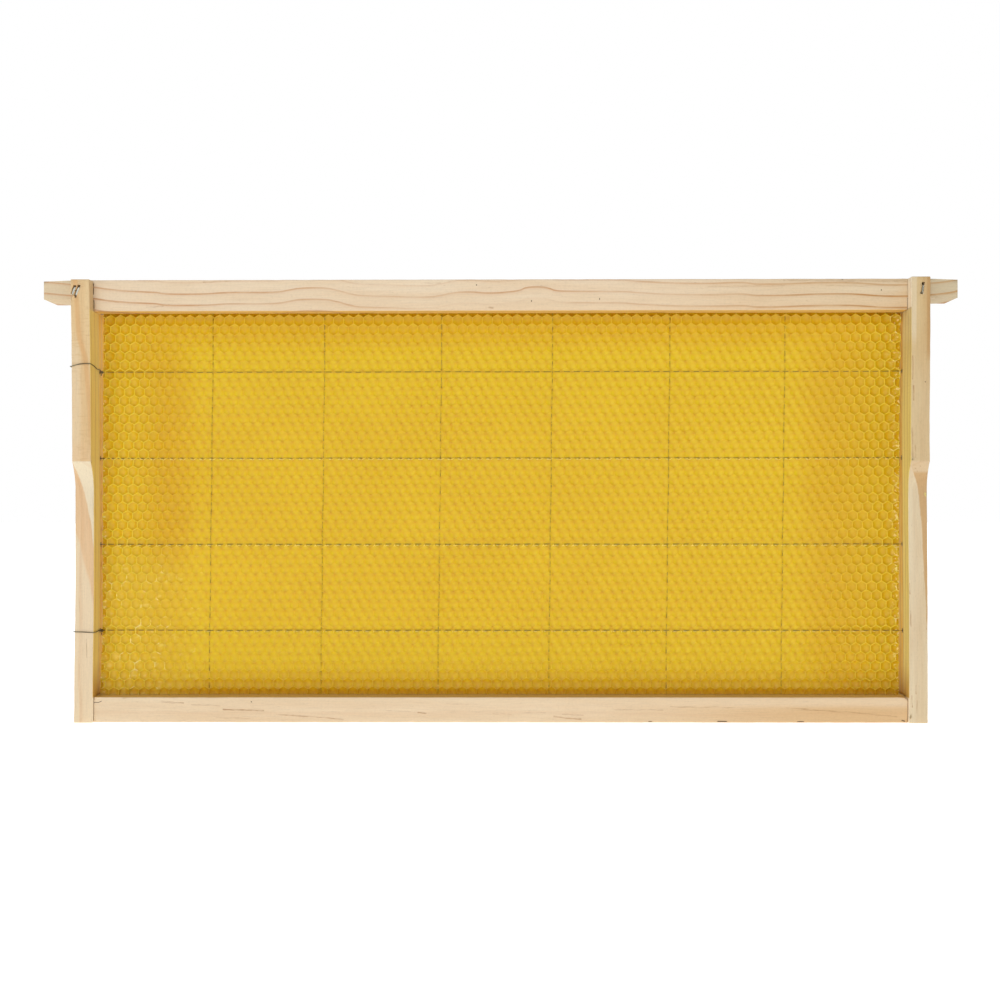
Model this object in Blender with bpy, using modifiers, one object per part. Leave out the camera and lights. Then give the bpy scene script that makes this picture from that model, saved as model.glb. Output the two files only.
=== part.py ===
"""A wired wooden hive frame of the deep Langstroth size, with an embossed beeswax foundation sheet.

Metres, +Z up. X runs along the top bar, -Y is the front, and the origin is at the middle of the
frame's base, on the plane its bottom bar and end bars stand on.
"""

import math

import bmesh
import bpy
from mathutils import Matrix, Vector

# The whole frame
FRAME_HEIGHT = 0.234
FRAME_WIDTH = 0.450  # over the two end bars
GAP = 0.0003  # between pieces that touch
PLANK_SEAM = 0.06  # long bars are modelled in lengths of about this
EDGE = 0.0004  # eased edges of planed wood
EDGE_STEPS = 2

# Top bar
TOP_BAR_LENGTH = 0.4826
TOP_BAR_WIDTH = 0.022
TOP_BAR_THICKNESS = 0.0166
LUG_UNDERSIDE = 0.2239  # height of the faces that the frame hangs on
LUG_SEAT = 0.0004  # in its slot the lug is this much deeper
LUG_DROOP = 0.0007  # the lugs are planed down this much at their tips
SHEET_GROOVE_DEPTH = 0.004

# End bars
END_BAR_THICKNESS = 0.010
LEFT_BAR_HEIGHT = 0.2334  # sawn a little short
UPPER_DEPTH = 0.035
LOWER_DEPTH = 0.025
SCOOP_BOTTOM = 0.1225
SCOOP_RADIUS = 0.025
SCOOP_STEPS = 8

# Bottom bar
BOTTOM_BAR_WIDTH = 0.022
BOTTOM_BAR_THICKNESS = 0.0134
TONGUE_WIDTH = 0.012

# Foundation sheet
SHEET_LEFT = -0.2127
SHEET_RIGHT = 0.2138
SHEET_THICKNESS = 0.003
SHEET_HEIGHT = 0.2061

# Tension wire: four runs through holes just in front of the sheet's middle
WIRE_RADIUS = 0.000225
WIRE_Y = -0.001
WIRE_TOP = 0.1862
WIRE_PITCH = 0.04617
WIRE_RUNS = 4
WIRE_HOLE_RADIUS = 0.0008
WIRE_HOLE_SIDES = 12
WIRE_BEND = 0.0006
WIRE_BEND_STEPS = 4
WIRE_ROUNDNESS = 2

# The wire's ties: offsets in front of, above and below the run that is tied
TIE_TURN = 0.0036
TIE_TURN_RISE = 0.0008
TIE_END = 0.0018
TIE_END_DROP = 0.0010
UPPER_TIE_INNER_RISE = 0.0028
UPPER_TIE_OUTER_RISE = 0.0015
LOWER_TIE_OUTER_RISE = 0.0004

# Upright wires in the wax
EMBEDDED_RADIUS = 0.0002
EMBEDDED_SIDES = 8
EMBEDDED_Y = 0.00035
EMBEDDED_AT = (-0.1549, -0.0949, -0.0321, 0.0273, 0.0901, 0.1516)
EMBEDDED_LEAN = 0.0025  # the tops stand this far to the right of the feet

# Staples
CROWN = 0.006
STAPLE_WIRE = 0.0009
STAPLE_WIDTH = 0.0011
STAPLE_EDGE = 0.00018
STAPLE_CLEARANCE = 0.0002
STAPLE_SUNK = 0.0003  # crowns lie this far below the wood
SIDE_LEG = 0.016
BOTTOM_LEG = 0.020
LEFT_TILT = math.radians(20.6)
RIGHT_TILT = math.radians(8)
SIDE_STAPLES = (  # name, which face, middle of the crown in X and Z, lean of the crown from upright
    ("left_front_staple_1", "front", -0.22155, 0.2275, LEFT_TILT),
    ("left_front_staple_2", "front", -0.2237, 0.2272, LEFT_TILT),
    ("right_front_staple", "front", 0.2208, 0.2280, RIGHT_TILT),
    ("left_back_staple", "back", -0.2206, 0.2278, RIGHT_TILT),
    ("right_back_staple", "back", 0.2204, 0.2280, -RIGHT_TILT),
)

# Colours, roughness and metallic values
CREAM_PINE = ((0.80, 0.66, 0.48, 1), 0.6, 0.0)
TAN_PINE = ((0.73, 0.55, 0.34, 1), 0.6, 0.0)
BEESWAX = ((0.80, 0.50, 0.05, 1), 0.35, 0.0)
STEEL = ((0.45, 0.45, 0.43, 1), 0.35, 1.0)

INNER = FRAME_WIDTH / 2 - END_BAR_THICKNESS
SHEET_BOTTOM = BOTTOM_BAR_THICKNESS + GAP
CUT_PAST = 0.002  # cutters run this far out of the wood
MERGE = 1e-6  # corners closer than this are one corner
FLAT = 1e-3  # faces that meet at a smaller angle than this are one face
SMOOTH_BELOW = math.radians(60)

# How a flat outline is stood up: its own X and Y across and up the front or the side of the frame
FRONT = Matrix(((1, 0, 0), (0, 0, -1), (0, 1, 0))).to_4x4()
SIDE = Matrix(((0, 0, 1), (1, 0, 0), (0, 1, 0))).to_4x4()


def new_collection(name):
    """A collection linked to the scene."""
    made = bpy.data.collections.new(name)
    bpy.context.scene.collection.children.link(made)
    return made


def material(name, finish):
    """A plain Principled material."""
    colour, roughness, metallic = finish
    made = bpy.data.materials.new(name)
    made.use_nodes = True
    shader = made.node_tree.nodes["Principled BSDF"]
    shader.inputs["Base Color"].default_value = colour
    shader.inputs["Roughness"].default_value = roughness
    shader.inputs["Metallic"].default_value = metallic
    return made


def add_part(name, mesh, placement, finish):
    """A named sub-part of the frame with its own material."""
    made = bpy.data.objects.new(name, mesh)
    made.matrix_world = placement
    mesh.materials.clear()
    mesh.materials.append(material(f"{name}_finish", finish))
    parts.objects.link(made)
    return made


def add_cutter(name, mesh, placement):
    """A shape that only cuts others."""
    made = bpy.data.objects.new(name, mesh)
    made.matrix_world = placement
    made.hide_render = True
    made.display_type = "WIRE"
    cutters.objects.link(made)
    return made


def cut(part, cutter):
    """Take the cutter's shape out of the part."""
    boolean = part.modifiers.new(cutter.name, "BOOLEAN")
    boolean.operation = "DIFFERENCE"
    boolean.solver = "EXACT"
    boolean.object = cutter


def ease_edges(part, width=EDGE):
    """Round off the sharp edges a little."""
    bevel = part.modifiers.new("eased_edges", "BEVEL")
    bevel.width = width
    bevel.segments = EDGE_STEPS
    bevel.limit_method = "ANGLE"
    weld = part.modifiers.new("welded", "WELD")
    weld.merge_threshold = MERGE


def outline_mesh(name, points, thickness):
    """A closed flat outline, extruded evenly to both sides of its plane."""
    curve = bpy.data.curves.new(name, "CURVE")
    curve.dimensions = "2D"
    curve.fill_mode = "BOTH"
    curve.extrude = thickness / 2
    spline = curve.splines.new("POLY")
    spline.points.add(len(points) - 1)
    for place, (x, y) in zip(spline.points, points):
        place.co = (x, y, 0, 1)
    spline.use_cyclic_u = True
    return mesh_of_curve(name, curve)


def mesh_of_curve(name, curve):
    """The curve's solid as a mesh with its caps welded on and its flat faces whole."""
    stand_in = bpy.data.objects.new(name, curve)
    bpy.context.scene.collection.objects.link(stand_in)
    evaluated = stand_in.evaluated_get(bpy.context.evaluated_depsgraph_get())
    mesh = bpy.data.meshes.new_from_object(evaluated)
    mesh.name = name
    bpy.data.objects.remove(stand_in)
    shape = bmesh.new()
    shape.from_mesh(mesh)
    bmesh.ops.remove_doubles(shape, verts=shape.verts, dist=MERGE)
    bmesh.ops.dissolve_limit(
        shape, angle_limit=FLAT, verts=shape.verts, edges=shape.edges
    )
    bmesh.ops.recalc_face_normals(shape, faces=shape.faces)
    shape.to_mesh(mesh)
    shape.free()
    return mesh


def plank_mesh(name, size):
    """A box centred on the origin, with seams every few centimetres of its length along X."""
    shape = bmesh.new()
    bmesh.ops.create_cube(shape, size=1, matrix=Matrix.Diagonal((*size, 1)))
    lengthwise = [
        edge for edge in shape.edges if edge.calc_length() > max(size[1], size[2])
    ]
    seams = round(size[0] / PLANK_SEAM)
    bmesh.ops.subdivide_edges(shape, edges=lengthwise, cuts=seams, use_grid_fill=True)
    mesh = bpy.data.meshes.new(name)
    shape.to_mesh(mesh)
    shape.free()
    return mesh


def box_cutter(name, low, high):
    """A box cutter between two corners."""
    low, high = Vector(low), Vector(high)
    shape = bmesh.new()
    bmesh.ops.create_cube(shape, size=1, matrix=Matrix.Diagonal((*(high - low), 1)))
    mesh = bpy.data.meshes.new(name)
    shape.to_mesh(mesh)
    shape.free()
    return add_cutter(name, mesh, Matrix.Translation((low + high) / 2))


def cylinder_mesh(name, radius, length, sides):
    """A cylinder along Z, centred on the origin."""
    shape = bmesh.new()
    bmesh.ops.create_cone(
        shape,
        cap_ends=True,
        segments=sides,
        radius1=radius,
        radius2=radius,
        depth=length,
    )
    mesh = bpy.data.meshes.new(name)
    shape.to_mesh(mesh)
    shape.free()
    mesh.shade_smooth()
    mesh.set_sharp_from_angle(angle=SMOOTH_BELOW)
    return mesh


def wire_heights():
    """The heights of the tension wire's runs, top run first."""
    return [WIRE_TOP - WIRE_PITCH * run for run in range(WIRE_RUNS)]


# Wood


def make_top_bar():
    """The bar with its two lugs, and the groove that takes the sheet's top edge."""
    underside = FRAME_HEIGHT - TOP_BAR_THICKNESS
    size = (TOP_BAR_LENGTH, TOP_BAR_WIDTH, TOP_BAR_THICKNESS)
    middle = Matrix.Translation((0, 0, FRAME_HEIGHT - TOP_BAR_THICKNESS / 2))
    bar = add_part("top_bar", plank_mesh("top_bar", size), middle, CREAM_PINE)
    ease_edges(bar)
    half_groove = SHEET_THICKNESS / 2 + GAP
    past_end = TOP_BAR_LENGTH / 2 + CUT_PAST
    groove = box_cutter(
        "sheet_groove",
        (-past_end, -half_groove, underside - CUT_PAST),
        (past_end, half_groove, underside + SHEET_GROOVE_DEPTH),
    )
    cut(bar, groove)
    for name, side in (("left", -1), ("right", 1)):
        steps = (
            ("seat", INNER - GAP, LUG_UNDERSIDE - LUG_SEAT),
            ("lug", FRAME_WIDTH / 2 + GAP, LUG_UNDERSIDE),
        )
        for step, start, height in steps:
            ends = sorted((side * start, side * past_end))
            rebate = box_cutter(
                f"{name}_{step}_rebate",
                (ends[0], -TOP_BAR_WIDTH, underside - CUT_PAST),
                (ends[1], TOP_BAR_WIDTH, height),
            )
            cut(bar, rebate)
        cut(bar, lug_slope(name, side))
    return bar


def lug_slope(name, side):
    """The wedge planed off the top of a lug, from nothing at the end bar to LUG_DROOP at the tip."""
    root = FRAME_WIDTH / 2
    slope = LUG_DROOP / (TOP_BAR_LENGTH / 2 - root)
    near = root - END_BAR_THICKNESS / 2
    far = TOP_BAR_LENGTH / 2 + CUT_PAST
    wedge = [
        (side * near, FRAME_HEIGHT - slope * (near - root)),
        (side * far, FRAME_HEIGHT - slope * (far - root)),
        (side * far, FRAME_HEIGHT + CUT_PAST),
        (side * near, FRAME_HEIGHT + CUT_PAST),
    ]
    mesh = outline_mesh(f"{name}_lug_slope", wedge, 2 * TOP_BAR_WIDTH)
    return add_cutter(mesh.name, mesh, FRONT)


def end_bar_outline(height):
    """The end bar's side view: narrow at the foot, scooped, then full depth."""
    centre_y = LOWER_DEPTH / 2 + SCOOP_RADIUS
    sweep = math.acos((centre_y - UPPER_DEPTH / 2) / SCOOP_RADIUS)
    half = [(LOWER_DEPTH / 2, 0)]
    for step in range(SCOOP_STEPS + 1):
        angle = sweep * step / SCOOP_STEPS
        y = centre_y - SCOOP_RADIUS * math.cos(angle)
        z = SCOOP_BOTTOM + SCOOP_RADIUS * math.sin(angle)
        half.append((y, z))
    half.append((UPPER_DEPTH / 2, height))
    return half + [(-y, z) for y, z in reversed(half)]


def make_end_bar(name, side, height):
    """An end bar, slotted at the top for the lug and at the foot for the bottom bar's tongue."""
    middle = side * (FRAME_WIDTH - END_BAR_THICKNESS) / 2
    mesh = outline_mesh(name, end_bar_outline(height), END_BAR_THICKNESS)
    bar = add_part(name, mesh, Matrix.Translation((middle, 0, 0)) @ SIDE, TAN_PINE)
    ease_edges(bar)
    reach = END_BAR_THICKNESS / 2 + CUT_PAST
    half_slot = TOP_BAR_WIDTH / 2 + GAP
    lug_slot = box_cutter(
        f"{name}_lug_slot",
        (middle - reach, -half_slot, LUG_UNDERSIDE - LUG_SEAT - GAP),
        (middle + reach, half_slot, FRAME_HEIGHT + CUT_PAST),
    )
    half_tongue = TONGUE_WIDTH / 2 + GAP
    foot_slot = box_cutter(
        f"{name}_foot_slot",
        (middle - reach, -half_tongue, -CUT_PAST),
        (middle + reach, half_tongue, BOTTOM_BAR_THICKNESS + GAP),
    )
    cut(bar, lug_slot)
    cut(bar, foot_slot)
    for run, height in enumerate(wire_heights(), 1):
        hole = cylinder_mesh(
            f"{name}_wire_hole_{run}", WIRE_HOLE_RADIUS, 2 * reach, WIRE_HOLE_SIDES
        )
        along_x = Matrix.Rotation(math.pi / 2, 4, "Y")
        place = Matrix.Translation((middle, WIRE_Y, height)) @ along_x
        cut(bar, add_cutter(hole.name, hole, place))
    return bar


def make_bottom_bar():
    """The bottom bar, with a tongue at each end that fills the end bar's foot slot."""
    size = (FRAME_WIDTH, BOTTOM_BAR_WIDTH, BOTTOM_BAR_THICKNESS)
    middle = Matrix.Translation((0, 0, BOTTOM_BAR_THICKNESS / 2))
    bar = add_part("bottom_bar", plank_mesh("bottom_bar", size), middle, CREAM_PINE)
    ease_edges(bar)
    past_end = FRAME_WIDTH / 2 + CUT_PAST
    for x_name, x_side in (("left", -1), ("right", 1)):
        for y_name, y_side in (("front", -1), ("back", 1)):
            x_ends = sorted((x_side * (INNER - GAP), x_side * past_end))
            y_ends = sorted((y_side * TONGUE_WIDTH / 2, y_side * BOTTOM_BAR_WIDTH))
            cheek = box_cutter(
                f"{x_name}_{y_name}_tongue_cheek",
                (x_ends[0], y_ends[0], -CUT_PAST),
                (x_ends[1], y_ends[1], BOTTOM_BAR_THICKNESS + CUT_PAST),
            )
            cut(bar, cheek)
    return bar


# Wax and wires


def make_embedded_wire(number, x, sheet):
    """One upright wire, and the channel in the back of the sheet that it lies in."""
    lean = Matrix.Rotation(math.atan(EMBEDDED_LEAN / SHEET_HEIGHT), 4, "Y")
    place = Matrix.Translation((x, EMBEDDED_Y, SHEET_BOTTOM + SHEET_HEIGHT / 2)) @ lean
    name = f"embedded_wire_{number}"
    length = SHEET_HEIGHT - 2 * GAP
    mesh = cylinder_mesh(name, EMBEDDED_RADIUS, length, EMBEDDED_SIDES)
    add_part(name, mesh, place, STEEL)
    half = EMBEDDED_RADIUS + GAP
    channel = box_cutter(
        f"{name}_channel",
        (-half, EMBEDDED_Y - half, -SHEET_HEIGHT),
        (half, SHEET_THICKNESS / 2 + CUT_PAST, SHEET_HEIGHT),
    )
    from_sheet_middle = Matrix.Translation((0, -EMBEDDED_Y, 0)) @ channel.matrix_world
    channel.matrix_world = place @ from_sheet_middle
    cut(sheet, channel)


def make_foundation_sheet():
    """The wax sheet as a plain slab, channelled in front for the tension wire's runs."""
    width = SHEET_RIGHT - SHEET_LEFT
    shape = bmesh.new()
    size = Matrix.Diagonal((width, SHEET_THICKNESS, SHEET_HEIGHT, 1))
    bmesh.ops.create_cube(shape, size=1, matrix=size)
    mesh = bpy.data.meshes.new("foundation_sheet")
    shape.to_mesh(mesh)
    shape.free()
    middle = ((SHEET_LEFT + SHEET_RIGHT) / 2, 0, SHEET_BOTTOM + SHEET_HEIGHT / 2)
    sheet = add_part("foundation_sheet", mesh, Matrix.Translation(middle), BEESWAX)
    half = WIRE_RADIUS + GAP
    for run, height in enumerate(wire_heights(), 1):
        channel = box_cutter(
            f"tension_channel_{run}",
            (-INNER, -SHEET_THICKNESS / 2 - CUT_PAST, height - half),
            (INNER, WIRE_Y + half, height + half),
        )
        cut(sheet, channel)
    for number, x in enumerate(EMBEDDED_AT, 1):
        make_embedded_wire(number, x, sheet)


def tied_end(x, height):
    """The last corners of the wire, where it is tied at the hole that it came out of."""
    return [
        (x, WIRE_Y - TIE_TURN, height + TIE_TURN_RISE),
        (x, WIRE_Y - TIE_END, height - TIE_END_DROP),
    ]


def tension_route():
    """The tension wire's corners: tied round the left bar, to and fro four times, and tied again."""
    heights = wire_heights()
    clear = WIRE_RADIUS + GAP
    outer = FRAME_WIDTH / 2 + clear
    inner = INNER - clear
    wide_front = -UPPER_DEPTH / 2 - clear
    narrow_front = -LOWER_DEPTH / 2 - clear
    top, bottom = heights[0], heights[-1]
    route = [
        *reversed(tied_end(-inner, top)),
        (-inner, wide_front, top + UPPER_TIE_INNER_RISE),
        (-outer, wide_front, top + UPPER_TIE_OUTER_RISE),
    ]
    side = -1
    for height in heights:
        route.append((side * outer, WIRE_Y, height))
        side = -side
        route.append((side * outer, WIRE_Y, height))
    route += [
        (-outer, narrow_front, bottom + LOWER_TIE_OUTER_RISE),
        (-inner, narrow_front, bottom),
        *tied_end(-inner, bottom),
    ]
    return [Vector(corner) for corner in route]


def rounded(corners, radius, steps):
    """The route with each corner turned into a short arc."""
    points = [corners[0]]
    for before, corner, after in zip(corners, corners[1:], corners[2:]):
        back = (before - corner).normalized()
        ahead = (after - corner).normalized()
        half_turn = back.angle(ahead) / 2
        trim = radius / math.tan(half_turn)
        centre = corner + (back + ahead).normalized() * (radius / math.sin(half_turn))
        start = (corner + back * trim - centre).normalized()
        end = (corner + ahead * trim - centre).normalized()
        for step in range(steps + 1):
            points.append(centre + start.slerp(end, step / steps) * radius)
    points.append(corners[-1])
    return points


def make_tension_wire():
    """The one length of wire that ties the frame and holds the sheet."""
    points = rounded(tension_route(), WIRE_BEND, WIRE_BEND_STEPS)
    curve = bpy.data.curves.new("tension_wire", "CURVE")
    curve.dimensions = "3D"
    curve.bevel_depth = WIRE_RADIUS
    curve.bevel_resolution = WIRE_ROUNDNESS
    curve.use_fill_caps = True
    spline = curve.splines.new("POLY")
    spline.points.add(len(points) - 1)
    for place, point in zip(spline.points, points):
        place.co = (*point, 1)
    spline.use_smooth = True
    wire = bpy.data.objects.new("tension_wire", curve)
    curve.materials.append(material("tension_wire_finish", STEEL))
    parts.objects.link(wire)


# Staples


def staple_outline(leg, grow=0.0, rise=0.0):
    """A staple seen flat: crown along X with its top on Y = 0, legs towards +Y."""
    outer = CROWN / 2 + grow
    inner = outer - STAPLE_WIRE - 2 * grow
    right_half = [
        (inner, STAPLE_WIRE + grow),
        (inner, leg + grow),
        (outer, leg + grow),
        (outer, -rise),
    ]
    return right_half + [(-x, y) for x, y in reversed(right_half)]


def drive_staple(name, leg, crown_middle, crown_along, legs_along, into):
    """A staple with its crown sunk in the wood, and the room for it in each piece it is driven into."""
    crown_along, legs_along = Vector(crown_along), Vector(legs_along)
    turn = Matrix((crown_along, legs_along, crown_along.cross(legs_along))).transposed()
    sunk = Vector(crown_middle) + legs_along * STAPLE_SUNK
    place = Matrix.Translation(sunk) @ turn.to_4x4()
    mesh = outline_mesh(name, staple_outline(leg), STAPLE_WIDTH)
    ease_edges(add_part(name, mesh, place, STEEL), STAPLE_EDGE)
    pocket = outline_mesh(
        f"{name}_pocket",
        staple_outline(leg, STAPLE_CLEARANCE, CUT_PAST),
        STAPLE_WIDTH + 2 * STAPLE_CLEARANCE,
    )
    pocket = add_cutter(pocket.name, pocket, place)
    for piece in into:
        cut(piece, pocket)


def drive_staples(top_bar, bottom_bar, left, right):
    """Three staples in front, two behind and one up through each foot."""
    for name, face, x, z, tilt in SIDE_STAPLES:
        end_bar = left if x < 0 else right
        inwards = 1 if face == "front" else -1
        place = (x, -inwards * UPPER_DEPTH / 2, z)
        crown = (math.sin(tilt), 0, math.cos(tilt))
        pieces = (end_bar, top_bar)
        drive_staple(name, SIDE_LEG, place, crown, (0, inwards, 0), pieces)
    for name, side, end_bar in (("left", -1, left), ("right", 1, right)):
        foot = (side * (FRAME_WIDTH - END_BAR_THICKNESS) / 2, 0, 0)
        pieces = (bottom_bar, end_bar)
        drive_staple(
            f"{name}_bottom_staple", BOTTOM_LEG, foot, (0, 1, 0), (0, 0, 1), pieces
        )


for old in list(bpy.data.objects):
    bpy.data.objects.remove(old)
parts = new_collection("wooden_hive_frame")
cutters = new_collection("cutters")

top_bar = make_top_bar()
bottom_bar = make_bottom_bar()
left_end_bar = make_end_bar("left_end_bar", -1, LEFT_BAR_HEIGHT)
right_end_bar = make_end_bar("right_end_bar", 1, FRAME_HEIGHT)
make_foundation_sheet()
make_tension_wire()
drive_staples(top_bar, bottom_bar, left_end_bar, right_end_bar)
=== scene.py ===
"""The wired wooden hive frame in pine, beeswax and drawn steel wire, on a pale floor.

The scene is in metres, +Z up, -Y to the front. Sizes and places below are in millimetres.
"""

import math
import random

import bmesh
import bpy
import numpy as np
from mathutils import Matrix, Vector


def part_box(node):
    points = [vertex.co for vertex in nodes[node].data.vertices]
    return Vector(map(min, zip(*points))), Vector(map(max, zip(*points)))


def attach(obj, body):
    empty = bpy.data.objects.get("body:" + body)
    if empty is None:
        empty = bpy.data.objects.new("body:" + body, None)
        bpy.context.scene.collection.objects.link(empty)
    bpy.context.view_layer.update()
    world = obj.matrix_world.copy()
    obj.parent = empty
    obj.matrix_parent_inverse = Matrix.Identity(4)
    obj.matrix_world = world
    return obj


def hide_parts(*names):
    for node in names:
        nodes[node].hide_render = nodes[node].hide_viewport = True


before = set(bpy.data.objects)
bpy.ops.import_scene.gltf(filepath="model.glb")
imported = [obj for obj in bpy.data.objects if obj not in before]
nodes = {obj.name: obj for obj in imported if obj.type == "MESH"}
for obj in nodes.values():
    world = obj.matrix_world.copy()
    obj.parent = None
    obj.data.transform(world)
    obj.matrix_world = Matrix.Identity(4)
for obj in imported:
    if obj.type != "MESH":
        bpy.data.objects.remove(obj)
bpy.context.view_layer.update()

MM = 0.001

# The frame as packed
FRAME_WIDTH = 450
END_BAR_THICKNESS = 10
UPPER_DEPTH = 35
LOWER_DEPTH = 25
SCOOP_LIP = 137.8
BAR_DEPTH = 22
INNER = FRAME_WIDTH / 2 - END_BAR_THICKNESS
TOP_BAR_UNDERSIDE = 217.4
BOTTOM_BAR_TOP = 13.4
SHEET_LEFT = -212.7
SHEET_RIGHT = 213.8
SHEET_BOTTOM = 13.37
SHEET_TOP = 219.8
WIRE_Y = -1.0
WIRE_RADIUS = 0.225
WIRE_ROWS = (186.2, 140.03, 93.86, 47.69)
UPRIGHT_AT = (-154.9, -94.9, -32.1, 27.3, 90.1, 151.6)
UPRIGHT_LEAN = 2.5
UPRIGHT_RADIUS = 0.2


# Node trees


class Value:
    """What a node gives. Arithmetic and the methods add nodes that take it further."""

    def __init__(self, tree, socket):
        self.tree = tree
        self.socket = socket

    def __add__(self, other):
        return self.tree.math("ADD", self, other)

    def __sub__(self, other):
        return self.tree.math("SUBTRACT", self, other)

    def __mul__(self, other):
        return self.tree.math("MULTIPLY", self, other)

    __radd__ = __add__
    __rmul__ = __mul__

    def __abs__(self):
        return self.tree.math("ABSOLUTE", self)

    def floor(self):
        return self.tree.math("FLOOR", self)

    def clamped(self):
        """This, kept between 0 and 1."""
        return self.tree.math("ADD", self, 0.0, clamp=True)

    def chance(self):
        """A repeatable random number from 0 to 1 for each value."""
        return self.tree.add("TexWhiteNoise", {"W": self}, noise_dimensions="1D")

    def step(self, low, high, to_low=0.0, to_high=1.0):
        """A smooth change from to_low to to_high as this goes from low to high."""
        sockets = ("Value", "From Min", "From Max", "To Min", "To Max")
        inputs = dict(zip(sockets, (self, low, high, to_low, to_high)))
        return self.tree.add("MapRange", inputs, interpolation_type="SMOOTHSTEP")

    def ramp(self, *stops):
        """A number that changes with this: each stop is (value of this, number)."""
        made = self.tree.add("ValToRGB", {0: self})
        elements = made.socket.node.color_ramp.elements
        while len(elements) < len(stops):
            elements.new(1.0)
        for element, (at, shade) in zip(elements, stops):
            element.position = at
            element.color = (shade, shade, shade, 1)
        return made

    def curve(self, points):
        """A smooth function of this through the given points."""
        low, high = points[0][0], points[-1][0]
        heights = [y for _, y in points]
        bottom, top = min(heights), max(heights)
        made = self.tree.add("FloatCurve", {"Value": (self - low) * (1 / (high - low))})
        mapping = made.socket.node.mapping
        line = mapping.curves[0]
        while len(line.points) < len(points):
            line.points.new(0.5, 0.5)
        for point, (x, y) in zip(line.points, points):
            point.location = ((x - low) / (high - low), (y - bottom) / (top - bottom))
        mapping.update()
        return made * (top - bottom) + bottom

    def between(self, a, b):
        """a where this is 0 and b where it is 1."""
        return self.tree.mix(self, a, b)

    def shaded(self, by):
        """This colour times another."""
        return self.tree.mix(1.0, self, by, "MULTIPLY")


def most(first, *others):
    """The greatest of the values."""
    for other in others:
        first = first.tree.math("MAXIMUM", first, other)
    return first


class Tree:
    """A material's nodes."""

    def __init__(self, name):
        self.material = bpy.data.materials.new(name)
        self.material.use_nodes = True
        self.nodes = self.material.node_tree.nodes
        self.links = self.material.node_tree.links
        self.shader = self.nodes["Principled BSDF"]

    def put(self, socket, value):
        if isinstance(value, Value):
            self.links.new(value.socket, socket)
        elif isinstance(value, tuple) and socket.type == "RGBA":
            socket.default_value = (*value, 1)
        else:
            socket.default_value = value

    def add(self, kind, inputs, output=0, **settings):
        """What a new node gives. Its inputs are named or numbered."""
        node = self.nodes.new(f"ShaderNode{kind}")
        for name, setting in settings.items():
            setattr(node, name, setting)
        for name, value in inputs.items():
            self.put(node.inputs[name], value)
        return Value(self, node.outputs[output])

    def math(self, operation, *inputs, clamp=False):
        return self.add("Math", dict(enumerate(inputs)), operation=operation, use_clamp=clamp)

    def vectors(self, operation, *inputs, output="Vector", **named):
        """Vector maths: the output is Vector, or Value where the operation gives a number."""
        inputs = dict(enumerate(inputs)) | named
        return self.add("VectorMath", inputs, output, operation=operation)

    def mix(self, amount, a, b, blend="MIX"):
        inputs = {0: amount, 6: a, 7: b}
        return self.add("Mix", inputs, 2, data_type="RGBA", blend_type=blend)

    def split(self, vector):
        node = self.nodes.new("ShaderNodeSeparateXYZ")
        self.put(node.inputs[0], vector)
        return [Value(self, output) for output in node.outputs]

    def attribute(self, name, output):
        return self.add("Attribute", {}, output, attribute_name=name)

    def position(self):
        """The place on the piece in millimetres, as three numbers."""
        place = self.add("TexCoord", {}, "Object")
        return self.split(self.vectors("SCALE", place, Scale=1 / MM))

    def normal(self):
        """The way the surface faces, as three numbers."""
        return self.split(self.add("NewGeometry", {}, "Normal"))

    def vector(self, *parts):
        return self.add("CombineXYZ", dict(enumerate(parts)))

    def noise(self, place, sizes, seed=0.0, detail=2.0, rough=0.5):
        """Noise from 0 to 1 whose lumps have one size, or a size along each axis."""
        if isinstance(sizes, float):
            sizes = (sizes, sizes, sizes)
        spread = [
            self.math("MULTIPLY_ADD", at, 1 / size, seed) for at, size in zip(place, sizes)
        ]
        inputs = {"Scale": 1, "Detail": detail, "Roughness": rough}
        return self.add("TexNoise", {"Vector": self.vector(*spread), **inputs})

    def mark(self, flat, x, z, end_x, end_z, width):
        """1 along a short line on the front, fading to 0 at width either side."""
        start, along = Vector((x, 0, z)), Vector((end_x - x, 0, end_z - z))
        away = self.vectors("SUBTRACT", flat, tuple(start))
        per_length = tuple(along / along.length_squared)
        share = self.vectors("DOT_PRODUCT", away, per_length, output="Value")
        nearest = self.vectors("SCALE", tuple(along), Scale=share.clamped())
        distance = self.vectors(
            "LENGTH", self.vectors("SUBTRACT", away, nearest), output="Value"
        )
        return distance.step(width, 0.0)

    def bump(self, height, distance, strength):
        inputs = {"Strength": strength, "Distance": distance * MM, "Height": height}
        self.put(self.shader.inputs["Normal"], self.add("Bump", inputs))

    def finish(self, **values):
        for name, value in values.items():
            self.put(self.shader.inputs[name.replace("_", " ")], value)
        return self.material


def srgb(red, green, blue):
    """A colour given as it looks, 0 to 255, in the linear values that nodes take."""

    def linear(value):
        value /= 255
        return value / 12.92 if value <= 0.04045 else ((value + 0.055) / 1.055) ** 2.4

    return tuple(linear(value) for value in (red, green, blue))


def value_noise(x, z, size, seed):
    """Smooth noise from -1 to 1 at each point, with lumps about size across."""
    rng = np.random.default_rng(seed)
    grid = rng.uniform(-1, 1, (256, 256))
    u, v = x / size + 128, z / size + 64
    i, j = np.floor(u).astype(int), np.floor(v).astype(int)
    fu, fv = u - i, v - j
    fu, fv = fu * fu * (3 - 2 * fu), fv * fv * (3 - 2 * fv)
    i, j = i % 255, j % 255
    near = grid[i, j] * (1 - fu) + grid[i + 1, j] * fu
    far = grid[i, j + 1] * (1 - fu) + grid[i + 1, j + 1] * fu
    return near * (1 - fv) + far * fv


def place_object(name, data):
    made = bpy.data.objects.new(name, data)
    bpy.context.scene.collection.objects.link(made)
    return made


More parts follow.
